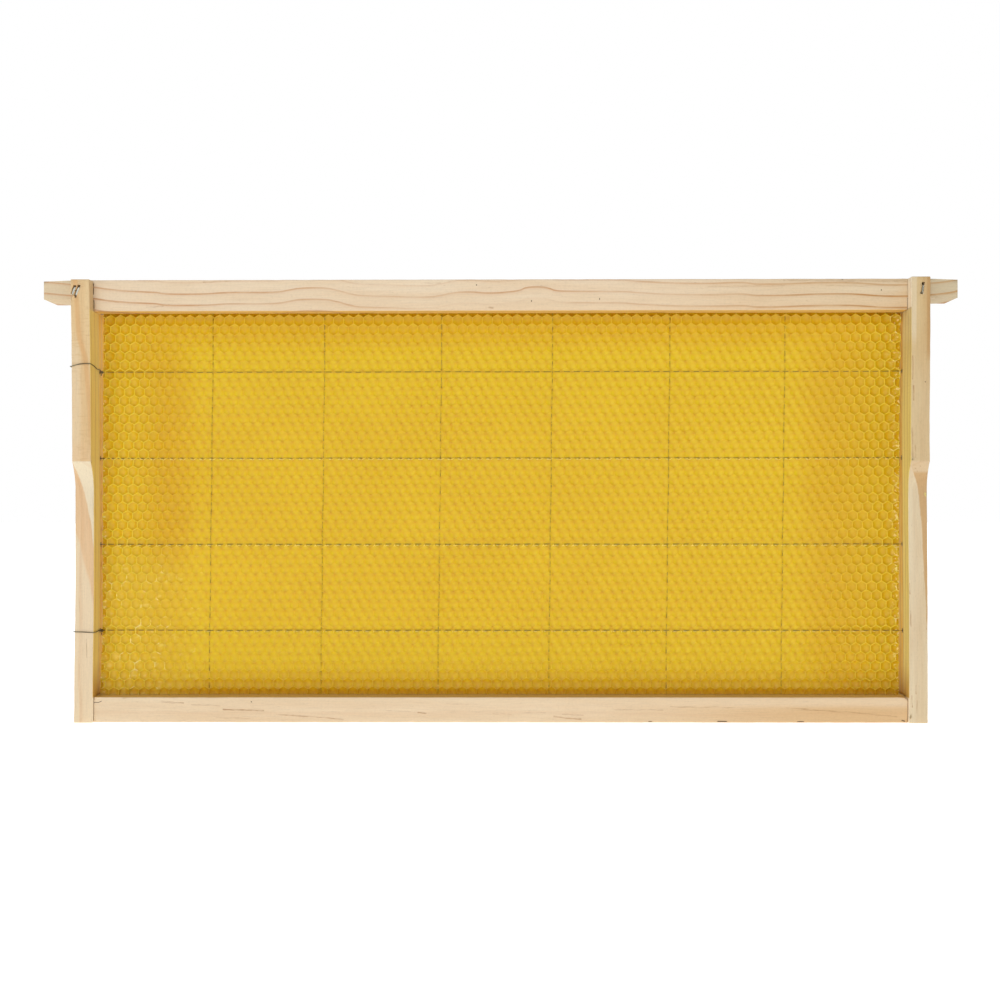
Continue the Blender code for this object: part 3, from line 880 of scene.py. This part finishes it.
def relief_solid(name, side, start_z, raised_tops, seed):
    """A block whose one face is that side's relief and whose other face is flat, well behind."""
    flat, height, faces = cell_faces(start_z, raised_tops, seed)
    used = sorted({corner for face in faces for corner in face})
    renumber = {old: new for new, old in enumerate(used)}
    points = [(flat[i, 0] * MM, side * height[i] * MM, flat[i, 1] * MM) for i in used]
    faces = [tuple(renumber[i] for i in face) for face in faces]
    mesh = bpy.data.meshes.new(name)
    mesh.from_pydata(points, [], faces)
    shape = bmesh.new()
    shape.from_mesh(mesh)
    rim = [edge for edge in shape.edges if edge.is_boundary]
    push_back(bmesh.ops.extrude_edge_only(shape, edges=rim), -side * BLOCK_DEPTH)
    rim = [edge for edge in shape.edges if edge.is_boundary]
    bmesh.ops.holes_fill(shape, edges=rim, sides=0)
    split_faces(shape)
    bmesh.ops.recalc_face_normals(shape, faces=shape.faces)
    shape.to_mesh(mesh)
    shape.free()
    return place_object(name, mesh)


def sheet_cutter():
    """The cut outline of the sheet: straight across the top, hand-cut down the sides."""
    rng = random.Random(5)
    outline = []
    for edge, outwards, start, end in (
        (SHEET_LEFT_EDGE, -0.12, SHEET_BOTTOM, SHEET_TOP),
        (SHEET_RIGHT_EDGE, -0.22, SHEET_TOP, SHEET_BOTTOM),
    ):
        for step in range(CUT_STEPS + 1):
            z = start + (end - start) * step / CUT_STEPS
            outline.append((read_off(edge, z) + rng.uniform(outwards, 0.12), z))
    shape = bmesh.new()
    front = [shape.verts.new((x * MM, -CUTTER_REACH * MM, z * MM)) for x, z in outline]
    face = shape.faces.new(front)
    push_back(bmesh.ops.extrude_face_region(shape, geom=[face]), CUTTER_REACH)
    split_faces(shape)
    bmesh.ops.recalc_face_normals(shape, faces=shape.faces)
    return object_from(shape, "sheet_outline")


def wax_beads():
    """The lumps of wax that the hot wires left under themselves, one in each cell."""
    rng = random.Random(17)
    shape = bmesh.new()
    for height, half_long, half_high, low_x, high_x in BEAD_ROWS:
        cells = round((SHEET_RIGHT - SHEET_LEFT) / PITCH)
        for cell in range(1, cells):
            x = CELL_X + PITCH * (cell + 0.3) + SHEAR * (height - CELL_Z)
            if not low_x < x < high_x:
                continue
            long = half_long * rng.uniform(0.75, 1.2)
            high = half_high * rng.uniform(0.8, 1.15)
            share = float(press(x, height))
            deep = share * rng.uniform(0.55, 0.72)
            up = height - BEAD_DROP + rng.uniform(-0.06, 0.06)
            place = (x + rng.uniform(-0.3, 0.3), -0.92 * share, up)
            turn = Matrix.Rotation(rng.uniform(-0.12, 0.12), 4, "Y")
            size = Matrix.Diagonal((long * MM, deep * MM, high * MM, 1))
            matrix = Matrix.Translation(Vector(place) * MM) @ turn @ size
            bmesh.ops.create_icosphere(shape, subdivisions=2, radius=1, matrix=matrix)
    return object_from(shape, "wax_beads")


def combine(target, other, operation):
    """The target joined to or cut down to the other, which is then removed."""
    boolean = target.modifiers.new("combine", "BOOLEAN")
    boolean.operation = operation
    boolean.solver = "MANIFOLD"
    boolean.object = other
    graph = bpy.context.evaluated_depsgraph_get()
    mesh = bpy.data.meshes.new_from_object(target.evaluated_get(graph))
    target.modifiers.clear()
    target.data = mesh
    bpy.data.objects.remove(other)


def lean(x, z):
    """How far the sheet stands forward of its plane: it is held at the top and by the wires."""
    free = ramp_up(z, 47.7, 13.7) ** 1.4
    sides = 2.4 * ramp_up(x, -150, -212) + 0.7 * ramp_up(x, 150, 212)
    return 0.25 * np.sin(x / 61) * np.sin((z - SHEET_BOTTOM) / 31) - free * sides


WAX_BODY = srgb(197, 152, 17)
WAX_DEEP = srgb(192, 147, 14)
# Painted highlight on the cell walls' crests, weak in the middle of the sheet
WAX_MIDDLE_CREST_HIGHLIGHT = srgb(216, 178, 34)
# Painted sheen on the lower left of the sheet
WAX_SHEEN = srgb(216, 192, 62)
# Real bloom, and painted highlight on the crests near the rim
WAX_BLOOM_AND_CREST_HIGHLIGHT = srgb(240, 212, 80)
WAX_BEAD = srgb(232, 204, 112)
WAX_GLINT = srgb(250, 232, 160)
WAX_EDGE = srgb(210, 176, 13)
WAX_NEAR_EDGE = srgb(193, 155, 10)
WAX_LEFT = srgb(226, 196, 42)
# Painted shade on the wax under the top bar
WAX_SHADE_UNDER_TOP_BAR = srgb(212, 156, 6)
# Painted shade on the bottom rows, deepest at the foot
WAX_LOW_SHADE = srgb(188, 146, 10)
WAX_FOOT_SHADE = srgb(180, 128, 6)


def wax_material():
    tree = Tree("embossed_beeswax")
    place = tree.position()
    x, _, z = place
    relief = tree.attribute("relief", "Fac")
    raised = relief.step(0.45, 0.95)
    cloud = tree.noise(place, 46.0, 3.0, 3.0)
    grain = tree.noise(place, 0.45, 5.0, 3.0)
    bloom = tree.noise(place, (2.4, 2.4, 1.6), 15.0, 3.0)
    body = cloud.ramp((0.35, 0.0), (0.65, 1.0)).between(WAX_BODY, WAX_DEEP)
    sides = most(
        x.step(-176.0, -214.0), x.step(120.0, 214.0), x.step(30.0, 160.0, 0.0, 0.45)
    )
    outer = most(sides, z.step(150.0, 214.0), z.step(70.0, 20.0))
    body = (0.75 * outer).between(body, WAX_NEAR_EDGE)
    sides = most(x.step(-166.0, -202.0), x.step(162.0, 205.0))
    rim = most(sides, z.step(36.0, 24.0, 0.0, 0.5), z.step(204.0, 214.0, 0.0, 0.5))
    body = rim.between(body, WAX_EDGE)
    flank = x.step(-180.0, -205.0, 0.0, 0.5) * z.step(200.0, 170.0, 0.4, 1.0)
    body = flank.between(body, WAX_LEFT)
    # Painted shadow of the top bar on the top rows
    body = z.step(214.5, TOP_BAR_UNDERSIDE, 0.0, 0.5).between(body, WAX_SHADE_UNDER_TOP_BAR)
    # Painted highlight on the crests: weak in the middle, stronger near the rim
    body = (raised * (-0.14 * rim + 0.14)).between(body, WAX_MIDDLE_CREST_HIGHLIGHT)
    body = (0.42 * raised * rim).between(body, WAX_BLOOM_AND_CREST_HIGHLIGHT)
    bead = most(*[abs(z - (row - BEAD_DROP)).step(0.6, 0.3) for row in WIRE_ROWS[1:]])
    body = (0.7 * bead * relief.step(0.75, 0.95)).between(body, WAX_BEAD)
    body = bloom.ramp((0.62, 0.0), (0.8, 0.10)).between(body, WAX_BLOOM_AND_CREST_HIGHLIGHT)
    # Painted shade on the bottom rows, where the bottom bar blocks the light
    body = z.step(32.0, 15.0, 0.0, 0.5).between(body, WAX_LOW_SHADE)
    body = z.step(18.0, SHEET_BOTTOM, 0.0, 0.6).between(body, WAX_FOOT_SHADE)
    # Painted sheen over the lower left, and painted glints there on the crests and along the cut
    # edges
    left = x.step(-150.0, -190.0) * z.step(100.0, 75.0)
    body = (0.3 * left).between(body, WAX_SHEEN)
    patch = tree.noise(place, 9.0, 35.0).ramp((0.5, 0.0), (0.6, 1.0))
    glint = tree.noise(place, (3.2, 3.2, 2.4), 25.0, 1.0).ramp((0.52, 0.0), (0.66, 1.0))
    glint = glint * patch * (0.75 * raised + 0.25) * most(left, x.step(203.0, 211.0))
    edge_glint = tree.noise(place, 1.6, 55.0, 1.0).ramp((0.57, 0.0), (0.68, 0.9))
    edge_glint = edge_glint * most(x.step(209.0, 212.0), x.step(-210.5, -212.5))
    body = (0.75 * most(glint, edge_glint)).between(body, WAX_GLINT)
    tree.bump(0.35 * grain + bloom, 0.10, 0.45)
    return tree.finish(
        Base_Color=body,
        Roughness=0.3 * bloom + 0.26,
        Subsurface_Weight=0.75,
        Subsurface_Radius=(1.0, 0.8, 0.22),
        Subsurface_Scale=-1.6 * MM * rim + 3.3 * MM,
        Specular_IOR_Level=0.4,
    )


def make_wax():
    front = relief_solid("wax_sheet", -1, CELL_Z - 7 * ROW_PITCH, True, 11)
    back_start = CELL_Z - 7 * ROW_PITCH + ROW_PITCH * 2 / 3 - 2 * ROW_PITCH
    back = relief_solid("wax_back", 1, back_start, False, 23)
    combine(front, back, "INTERSECT")
    combine(front, sheet_cutter(), "INTERSECT")
    combine(front, wax_beads(), "UNION")
    mesh = front.data
    count = len(mesh.vertices)
    points = np.zeros(count * 3)
    mesh.vertices.foreach_get("co", points)
    points = points.reshape(-1, 3) / MM
    relief = mesh.attributes.new("relief", "FLOAT", "POINT")
    height = np.abs(points[:, 1]) / press(points[:, 0], points[:, 2])
    relief.data.foreach_set("value", height / CREST)
    points[:, 1] += lean(points[:, 0], points[:, 2])
    mesh.vertices.foreach_set("co", (points * MM).ravel())
    mesh.materials.clear()
    mesh.materials.append(wax_material())
    mesh.shade_smooth()
    mesh.set_sharp_from_angle(angle=math.radians(62))
    stand_for(front, "foundation_sheet")


make_wax()


# Steel wire


def steel(name, bright, dark, rough, metallic=0.9, film=None):
    """Drawn or galvanised steel wire with die lines, dull patches and a little grime.

    Where it runs in the sheet it can carry a film of wax. film gives the wax's colour, the wire's
    colour in its gaps, where it starts and ends, and the gaps' axis, pitch and start.
    """
    tree = Tree(name)
    place = tree.position()
    patch = tree.noise(place, 5.0, 0.0, 3.0)
    spangle = tree.noise(place, 0.7, 4.0)
    fine = tree.noise(place, 0.12, 8.0)
    colour = patch.ramp((0.35, 0.0), (0.7, 1.0)).between(bright, dark)
    colour = spangle.ramp((0.55, 0.0), (0.75, 0.5)).between(colour, dark)
    if film:
        wax, bare, (low, high), (axis, pitch, start) = film
        reach = place[0].step(low, low + 1.0) * place[0].step(high, high - 1.0)
        turn = 2 * math.pi / pitch * (place[axis] - start) + 2.5 * patch
        cover = tree.math("SINE", turn).ramp((0.0, 0.0), (0.5, 1.0))
        colour = reach.between(colour, cover.between(bare, wax))
        metallic = -metallic * reach + metallic
    tree.bump(fine, 0.02, 0.5)
    return tree.finish(Base_Color=colour, Roughness=0.3 * spangle + rough, Metallic=metallic)


def wire_object(name, path, radius, material):
    """Round wire along a path of points in millimetres."""
    curve = bpy.data.curves.new(name, "CURVE")
    curve.dimensions = "3D"
    curve.bevel_depth = radius * MM
    curve.bevel_resolution = 3
    curve.use_fill_caps = True
    spline = curve.splines.new("POLY")
    spline.points.add(len(path) - 1)
    for point, (x, y, z) in zip(spline.points, path):
        point.co = (x * MM, y * MM, z * MM, 1)
    spline.use_smooth = True
    curve.materials.append(material)
    return place_object(name, curve)


def smooth_path(corners, steps):
    """A Catmull-Rom curve through the corners."""
    points = [Vector(corner) for corner in corners]
    padded = [points[0] * 2 - points[1], *points, points[-1] * 2 - points[-2]]
    path = []
    for a, b, c, d in zip(padded, padded[1:], padded[2:], padded[3:]):
        square, cube = 2 * a - 5 * b + 4 * c - d, 3 * b - a - 3 * c + d
        for step in range(steps):
            t = step / steps
            path.append(0.5 * (2 * b + (c - a) * t + square * t**2 + cube * t**3))
    return [tuple(point) for point in (*path, points[-1])]


# How deep each row lies: the farther forward, the less of it the cell walls hide
ROW_DEPTHS = (
    ((-215, -0.9), (138, -0.9), (160, -0.2), (207, -0.2), (212.5, -0.8), (215, -0.8)),
    ((-215, -0.92), (-20, -0.95), (30, -1.1), (215, -1.0)),
    ((-215, -0.95), (215, -0.97)),
    ((-215, -0.55), (-172, -0.6), (-155, -0.95), (215, -1.0)),
)
TIE_TURNS = 3
TIE_REACH = 0.50
HALF_RUN = 40  # points along the wire from an end bar to the middle


def tie_tail(height, rise):
    """The twisted end of the wire, from its cut tips to where it leaves for the bar's front."""
    start_x, end_x = -212.95, -214.3
    tail = [
        (-213.2, WIRE_Y - 2.3, height - 2.0), (-213.3, WIRE_Y - 1.1, height - 0.9),
        (-213.0, WIRE_Y - 1.9, height + 0.3), (-213.0, WIRE_Y - 0.9, height + 0.5),
    ]
    per_turn = 10
    for step in range(TIE_TURNS * per_turn + 1):
        share = step / (TIE_TURNS * per_turn)
        angle = math.radians(150) + 2 * math.pi * TIE_TURNS * share
        tail.append(
            (
                start_x + (end_x - start_x) * share,
                WIRE_Y + TIE_REACH * math.cos(angle),
                height + TIE_REACH * math.sin(angle),
            )
        )
    tail.append((-214.3, WIRE_Y - 1.6, height + 0.3 * rise + 0.4))
    return tail


def row_run(row, side, rng):
    """One run of the wire across the sheet, from the hole on that side to the other."""
    height = WIRE_ROWS[row]
    run = []
    for share in range(1, 2 * HALF_RUN):
        x = side * INNER * (1 - share / HALF_RUN)
        sway = 0.05 * math.sin(x / 13 + height)
        y = float(read_off(ROW_DEPTHS[row], x) * press(x, height) + lean(x, height))
        run.append((x, y + 0.6 * sway, height + sway + rng.uniform(-0.03, 0.03)))
    return run


def bowed(points):
    """The points moved with the end bars where they bend inwards."""
    moved = []
    for x, y, z in points:
        bow = LEFT_BOW if x < 0 else RIGHT_BOW
        bend = float(ramp_up(abs(x), 213.5, 215) * read_off(bow, z))
        moved.append((x - math.copysign(bend, x), y, z))
    return moved


def tension_path():
    outer = FRAME_WIDTH / 2 + WIRE_RADIUS + 0.2
    clear = WIRE_RADIUS + 0.15
    upper_front = -UPPER_DEPTH / 2 - clear
    lower_front = -LOWER_DEPTH / 2 - clear
    top, bottom = WIRE_ROWS[0], WIRE_ROWS[-1]
    inner = INNER - clear
    corners = tie_tail(top, 2.6)
    corners += [
        (-inner, -6.0, top + 1.0), (-inner, -12.0, top + 2.2),
        (-inner, upper_front + 0.5, top + 2.8), (-inner - 0.5, upper_front, top + 2.85),
        (-218.0, upper_front - 0.02, top + 2.95), (-221.5, upper_front - 0.02, top + 2.5),
        (-outer + 0.5, upper_front, top + 1.55), (-outer, upper_front + 0.5, top + 1.45),
        (-outer, -9.0, top + 0.8), (-outer, WIRE_Y - 0.8, top + 0.1),
        (-outer + 0.5, WIRE_Y, top),
    ]
    rng = random.Random(3)
    side = -1
    for row, height in enumerate(WIRE_ROWS):
        corners += row_run(row, side, rng)
        side = -side
        if height != bottom:
            below = WIRE_ROWS[row + 1]
            corners += [
                (side * (outer - 0.5), WIRE_Y, height), (side * outer, WIRE_Y, height - 0.5),
                (side * outer, WIRE_Y, height - 0.35 * (height - below)),
                (side * outer, WIRE_Y, height - 0.7 * (height - below)),
                (side * outer, WIRE_Y, below + 0.5), (side * (outer - 0.5), WIRE_Y, below),
            ]
    corners += [
        (-outer + 0.5, WIRE_Y, bottom), (-outer, WIRE_Y - 0.8, bottom + 0.05),
        (-outer, -7.0, bottom + 0.2), (-outer, lower_front + 0.5, bottom + 0.35),
        (-outer + 0.5, lower_front, bottom + 0.4), (-220.0, lower_front - 0.02, bottom + 0.25),
        (-inner - 0.5, lower_front, bottom), (-inner, lower_front + 0.5, bottom - 0.05),
        (-inner, -8.0, bottom - 0.1),
    ]
    corners += list(reversed(tie_tail(bottom, 0.5)))
    return smooth_path(bowed(corners), 4)


frame_wire_steel = steel(
    "frame_wire_steel",
    srgb(150, 142, 118),
    srgb(72, 60, 38),
    0.34,
    film=(srgb(196, 158, 26), srgb(132, 113, 34), (-212.6, 215.0), (0, PITCH, CELL_X)),
)
tension = wire_object("frame_wire", tension_path(), WIRE_RADIUS, frame_wire_steel)
stand_for(tension, "tension_wire")

CRIMP = 4.65
CRIMP_DEPTH = 0.62
CRIMP_MIDDLE = -0.36


def upright_path(x):
    path = []
    steps = 12 * round((SHEET_TOP - SHEET_BOTTOM) / CRIMP)
    for step in range(steps + 1):
        z = SHEET_BOTTOM + 0.5 + (SHEET_TOP - SHEET_BOTTOM - 1.0) * step / steps
        at = x + UPRIGHT_LEAN * ((z - SHEET_BOTTOM) / (SHEET_TOP - SHEET_BOTTOM) - 0.5)
        wave = math.sin(2 * math.pi * z / CRIMP + x)
        y = float((CRIMP_MIDDLE - CRIMP_DEPTH * wave) * press(at, z) + lean(at, z))
        path.append((at + 0.12 * math.sin(z / 9.0), y, z))
    return path


upright_steel = steel(
    "upright_wire_steel",
    srgb(112, 98, 44),
    srgb(84, 72, 26),
    0.4,
    film=(srgb(184, 148, 18), srgb(146, 122, 28), (-250, 250), (2, ROW_PITCH, CELL_Z)),
)
for number, x in enumerate(UPRIGHT_AT, 1):
    upright = wire_object(
        f"crimped_wire_{number}", upright_path(x), UPRIGHT_RADIUS, upright_steel
    )
    stand_for(upright, f"embedded_wire_{number}")

# Staples

STAPLE_CROWN = 6.0
SHORT_CROWN = 5.2
TINY_CROWN = 4.4
STAPLE_WIRE = 0.9
STAPLE_WIDTH = 0.95
BROAD = 1.15
STAPLE_SHOULDER = 0.75
STAPLE_SUNK = 0.3
STAPLE_SIDES = 12  # corners round the wire
SIDE_LEG = 16.0
BOTTOM_LEG = 20.0
LEFT_TILT = math.radians(20.6)
RIGHT_TILT = math.radians(8)
staple_steel = steel("staple_steel", srgb(216, 218, 208), srgb(158, 160, 148), 0.3, 0.3)


def squared_off(share):
    """A sine or cosine drawn out so that a circle turns into a square with round corners."""
    return math.copysign(abs(share) ** 0.5, share)


def staple_mesh(name, length, width, leg):
    """A staple in its own plane: crown along X with its top on Y = 0, legs towards +Y."""
    half = length / 2 - STAPLE_WIRE / 2
    path = [(-half, leg, -1.0, 0.0)]
    for step in range(7):
        angle = math.pi / 2 * step / 6
        x = -half + STAPLE_SHOULDER * (1 - math.cos(angle))
        y = STAPLE_WIRE / 2 + STAPLE_SHOULDER * (1 - math.sin(angle))
        path.append((x, y, -math.cos(angle), -math.sin(angle)))
    path += [(-x, y, -out_x, out_y) for x, y, out_x, out_y in reversed(path)]
    angles = [2 * math.pi * (corner + 0.5) / STAPLE_SIDES for corner in range(STAPLE_SIDES)]
    shape = bmesh.new()
    loops = []
    for number, (x, y, out_x, out_y) in enumerate(path):
        taper = 0.45 if number in (0, len(path) - 1) else 1.0
        loop = []
        for angle in angles:
            out = squared_off(math.cos(angle)) * STAPLE_WIRE / 2 * taper
            wide = squared_off(math.sin(angle)) * width / 2
            place = ((x + out_x * out) * MM, (y + out_y * out) * MM, wide * MM)
            loop.append(shape.verts.new(place))
        loops.append(loop)
    for before, after in zip(loops, loops[1:]):
        for k in range(STAPLE_SIDES):
            n = (k + 1) % STAPLE_SIDES
            shape.faces.new((before[k], before[n], after[n], after[k]))
    shape.faces.new(loops[0])
    shape.faces.new(list(reversed(loops[-1])))
    bmesh.ops.recalc_face_normals(shape, faces=shape.faces)
    mesh = bpy.data.meshes.new(name)
    shape.to_mesh(mesh)
    shape.free()
    mesh.shade_smooth()
    mesh.set_sharp_from_angle(angle=math.radians(50))
    return mesh


def drive_staple(node, leg, place, crown, legs, length=STAPLE_CROWN, width=STAPLE_WIDTH):
    crown, legs = Vector(crown).normalized(), Vector(legs)
    turn = Matrix((crown, legs, crown.cross(legs))).transposed().to_4x4()
    mesh = staple_mesh(f"{node}_wire", length, width, leg)
    sunk = (Vector(place) + legs * STAPLE_SUNK) * MM
    mesh.transform(Matrix.Translation(sunk) @ turn)
    mesh.materials.append(staple_steel)
    stand_for(place_object(f"{node}_wire", mesh), node)


FACE = UPPER_DEPTH / 2
for node, x, z, y, tilt, length, width in (
    ("left_front_staple_1", -221.3, 227.15, -FACE, LEFT_TILT, SHORT_CROWN, BROAD),
    ("left_front_staple_2", -223.25, 227.6, -FACE, LEFT_TILT, TINY_CROWN, BROAD),
    ("right_front_staple", 221.08, 227.7, -FACE, RIGHT_TILT, TINY_CROWN, 0.6),
    ("left_back_staple", -220.6, 227.8, FACE, RIGHT_TILT, STAPLE_CROWN, STAPLE_WIDTH),
    ("right_back_staple", 220.4, 228.0, FACE, -RIGHT_TILT, STAPLE_CROWN, STAPLE_WIDTH),
):
    inwards = (0, math.copysign(1, -y), 0)
    crown = (math.sin(tilt), 0, math.cos(tilt))
    drive_staple(node, SIDE_LEG, (x, y, z), crown, inwards, length, width)
for node, x in (("left_bottom_staple", -220.0), ("right_bottom_staple", 220.0)):
    drive_staple(node, BOTTOM_LEG, (x, 0, 0), (0, 1, 0), (0, 0, 1))


# Studio

FLOOR_GLOW = 0.68
SKY = 0.38  # the sky's light on the frame; the camera sees it white
KEY_LIGHT = 0.86
BACK_LIGHT = 0.8


def make_floor():
    mesh = bpy.data.meshes.new("floor")
    reach = 6.0
    corners = [(-reach, -reach, 0), (reach, -reach, 0), (reach, reach, 0), (-reach, reach, 0)]
    mesh.from_pydata(corners, [], [(0, 1, 2, 3)])
    tree = Tree("floor_paper")
    colour = tree.noise(tree.position(), 400.0).ramp((0.3, 0.90), (0.7, 0.93))
    glow = {"Emission_Color": (1, 1, 1), "Emission_Strength": FLOOR_GLOW}
    mesh.materials.append(tree.finish(Base_Color=colour, Roughness=0.9, **glow))
    place_object("floor", mesh)


def add_sun(name, place, strength, spread):
    """Soft light from the direction of a place, as seen from the frame."""
    data = bpy.data.lights.new(name, "SUN")
    data.energy = strength
    data.angle = math.radians(spread)
    lamp = place_object(name, data)
    lamp.location = place
    lamp.rotation_euler = (-Vector(place)).to_track_quat("-Z", "Y").to_euler()


def make_world():
    world = bpy.data.worlds.new("studio")
    world.use_nodes = True
    tree = world.node_tree
    background = tree.nodes["Background"]
    background.inputs["Color"].default_value = (1, 1, 1, 1)
    rays = tree.nodes.new("ShaderNodeLightPath")
    strength = tree.nodes.new("ShaderNodeMapRange")
    strength.inputs["To Min"].default_value = SKY
    strength.inputs["To Max"].default_value = 1.0
    tree.links.new(rays.outputs["Is Camera Ray"], strength.inputs["Value"])
    tree.links.new(strength.outputs[0], background.inputs["Strength"])
    bpy.context.scene.world = world


CAMERA_AZIMUTH = math.radians(0.46)
CAMERA_TURN = math.radians(-0.008)
CAMERA_ROLL = math.radians(0.04)
CAMERA_AWAY = 0.706
CAMERA_HEIGHT = 0.1175


def make_camera():
    data = bpy.data.cameras.new("camera")
    data.lens = 47.4
    data.sensor_width = 36
    camera = place_object("camera", data)
    camera.location = (
        CAMERA_AWAY * math.sin(CAMERA_AZIMUTH),
        -CAMERA_AWAY * math.cos(CAMERA_AZIMUTH),
        CAMERA_HEIGHT,
    )
    camera.rotation_euler = (math.pi / 2, CAMERA_ROLL, CAMERA_AZIMUTH + CAMERA_TURN)
    bpy.context.scene.camera = camera


make_floor()
make_world()
make_camera()
add_sun("key", (-0.25, -1.0, 0.48), KEY_LIGHT, 40)
add_sun("back", (0.4, 1.0, 0.6), BACK_LIGHT, 60)

bpy.context.scene.view_settings.view_transform = "Standard"
